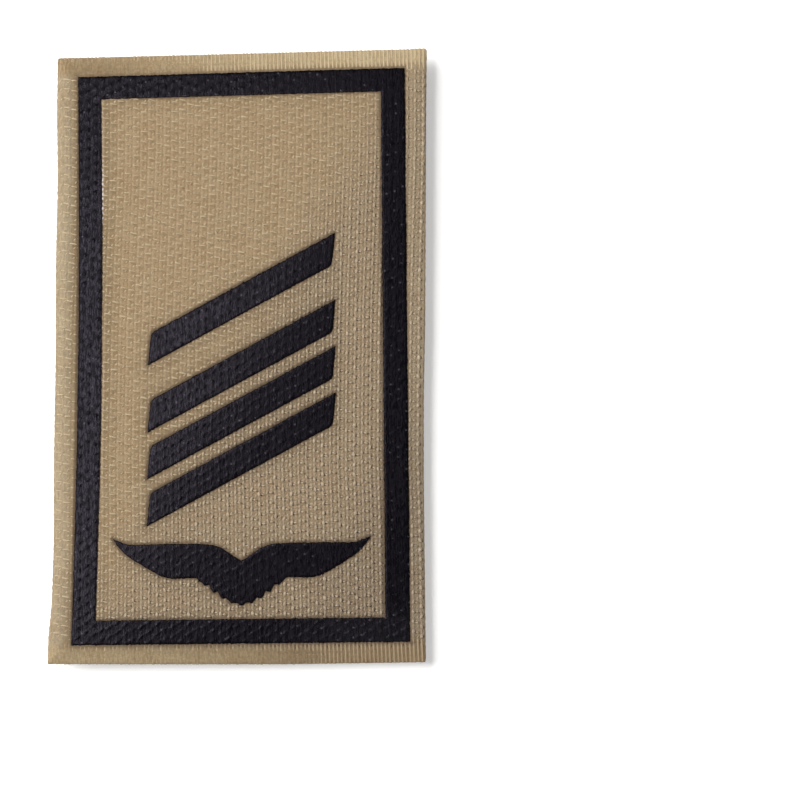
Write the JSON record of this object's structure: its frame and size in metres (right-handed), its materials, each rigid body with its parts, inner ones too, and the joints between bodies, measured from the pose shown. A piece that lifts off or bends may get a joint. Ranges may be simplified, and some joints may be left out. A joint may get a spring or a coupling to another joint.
{
  "type": "rank patch",
  "caption": "Flat rectangular hook-backed cloth rank patch with a printed border, slanting bars and a pair of spread wings.",
  "frame": {"origin": "middle of the patch's outline, on the plane of the hook tips it rests on", "axes": "+X across the patch to its right as it is read, +Y up along its length, +Z out of the printed face"},
  "size_m": [0.0508, 0.0828, 0.0029],
  "materials": {
    "face_knit": "tan knitted polyester with a faint shine, pressed flat along the cut edge",
    "hook_tape": "tan woven nylon hook tape",
    "print_film": "black heat-pressed film, satin, with the knit showing through as relief"
  },
  "bodies": {
    "root": {"face_cloth": "face_knit", "hook_backing": "hook_tape", "border_print": "print_film", "bar_1": "print_film", "bar_2": "print_film", "bar_3": "print_film", "bar_4": "print_film", "wings_print": "print_film"}
  },
  "joints": []
}
